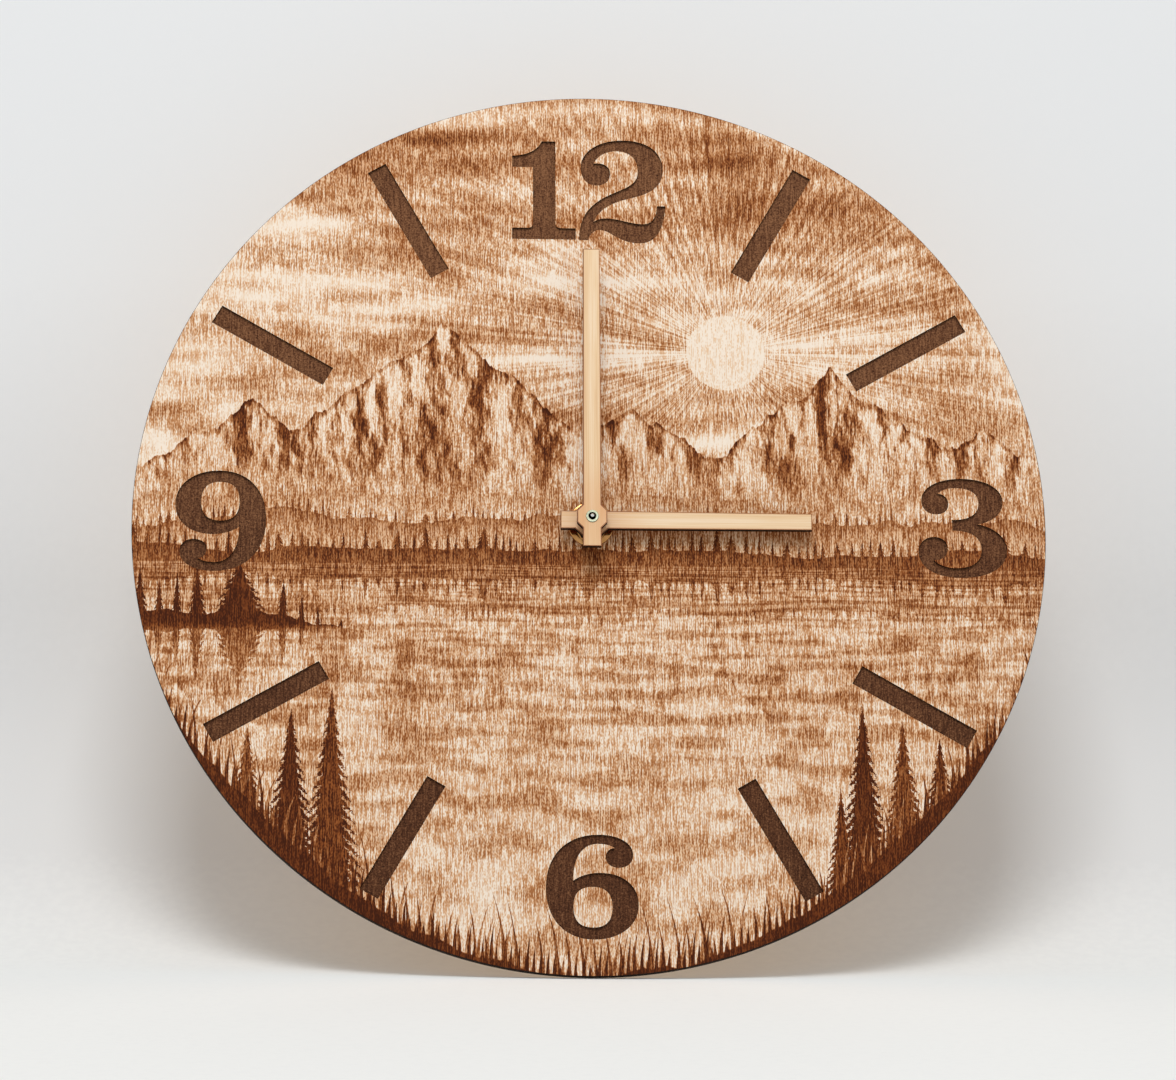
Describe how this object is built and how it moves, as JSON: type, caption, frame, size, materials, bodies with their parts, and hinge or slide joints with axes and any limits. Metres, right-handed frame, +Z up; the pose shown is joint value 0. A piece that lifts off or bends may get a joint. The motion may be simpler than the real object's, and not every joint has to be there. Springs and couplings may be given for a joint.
{
  "type": "wall clock",
  "caption": "Round plywood wall clock with recessed hour marks, straight plywood hands and a quartz movement with its full gear train, hung from a keyhole strap.",
  "frame": {"origin": "on the wall plane, on the axis of the hands", "axes": "+Z up towards twelve o'clock, +X towards three o'clock, +Y into the wall, so the dial faces -Y"},
  "size_m": [0.3, 0.0329, 0.3],
  "materials": {
    "dial_plywood": "laser-engraved plywood, matt",
    "hand_plywood": "laser-cut plywood, matt",
    "rubber": "matt",
    "fixing_nickel": "nickel plated",
    "zinc_steel": "zinc plated",
    "black_moulding": "fine spark texture",
    "white_moulding": "smooth acetal",
    "amber_moulding": "translucent moulding",
    "lamination": "stamped nickel iron",
    "copper_wire": "enamelled copper wire",
    "circuit_laminate": "solder mask on glass laminate",
    "epoxy": "glossy epoxy",
    "plated_can": "bright plated",
    "contact_brass": "spring brass",
    "cell_sleeve": "plain film sleeve",
    "tube_metal": "nickel-plated brass",
    "arbor_steel": "polished",
    "magnet": "sintered"
  },
  "bodies": {
    "root": {"dial": "dial_plywood", "rubber_washer": "rubber", "fixing_washer": "fixing_nickel", "fixing_nut": "fixing_nickel", "threaded_bush": "fixing_nickel", "hanger": "zinc_steel", "movement_case": "black_moulding", "rear_cover": "black_moulding", "middle_plate": "white_moulding", "stator": "lamination", "coil_core": "lamination", "coil_bobbin": "amber_moulding", "coil_winding": "copper_wire", "circuit_board": "circuit_laminate", "timing_chip": "epoxy", "quartz_crystal": "plated_can", "positive_contact": "contact_brass", "negative_contact": "contact_brass"},
    "minute": {"minute_hand": "hand_plywood", "minute_arbor": "tube_metal"},
    "hour": {"hour_hand": "hand_plywood", "hour_wheel": "white_moulding"},
    "setting": {"minute_wheel": "white_moulding", "setting_knob": "white_moulding"},
    "centre": {"centre_gear": "white_moulding"},
    "third": {"third_wheel": "white_moulding"},
    "seconds": {"seconds_wheel": "white_moulding", "seconds_arbor": "arbor_steel"},
    "intermediate": {"intermediate_wheel": "white_moulding"},
    "rotor": {"rotor_pinion": "white_moulding", "rotor_magnet": "magnet"},
    "cell": {"battery_cell": "cell_sleeve"}
  },
  "joints": [
    {"name": "minute_hand_turn", "type": "hinge", "parent": "root", "child": "minute", "pos_m": [0, 0, 0], "axis": [0, 1, 0], "continuous": true},
    {"name": "hour_hand_turn", "type": "hinge", "parent": "root", "child": "hour", "pos_m": [0, 0, 0], "axis": [0, 1, 0], "continuous": true},
    {"name": "setting_turn", "type": "hinge", "parent": "root", "child": "setting", "pos_m": [0.00504, 0, 0.00873], "axis": [0, 1, 0], "continuous": true},
    {"name": "rotor_turn", "type": "hinge", "parent": "root", "child": "rotor", "pos_m": [0.01443, 0, 0.00002], "axis": [0, 1, 0], "continuous": true},
    {"name": "intermediate_turn", "type": "hinge", "parent": "root", "child": "intermediate", "pos_m": [0.00808, 0, -0.00294], "axis": [0, 1, 0], "continuous": true},
    {"name": "seconds_turn", "type": "hinge", "parent": "root", "child": "seconds", "pos_m": [0, 0, 0], "axis": [0, 1, 0], "continuous": true},
    {"name": "third_turn", "type": "hinge", "parent": "root", "child": "third", "pos_m": [-0.00802, 0, 0.00215], "axis": [0, 1, 0], "continuous": true},
    {"name": "centre_turn", "type": "hinge", "parent": "root", "child": "centre", "pos_m": [0, 0, 0], "axis": [0, 1, 0], "continuous": true},
    {"name": "battery_slide", "type": "slide", "parent": "root", "child": "cell", "axis": [0, 1, 0], "range_m": [0, 0.02]}
  ],
  "couplings": [
    {"joint": "hour_hand_turn", "follows": "minute_hand_turn", "ratio": 0.083333},
    {"joint": "setting_turn", "follows": "minute_hand_turn", "ratio": -0.33333},
    {"joint": "intermediate_turn", "follows": "rotor_turn", "ratio": -0.16667},
    {"joint": "seconds_turn", "follows": "rotor_turn", "ratio": 0.033333},
    {"joint": "third_turn", "follows": "rotor_turn", "ratio": -0.0041667},
    {"joint": "centre_turn", "follows": "rotor_turn", "ratio": 0.00055556}
  ]
}
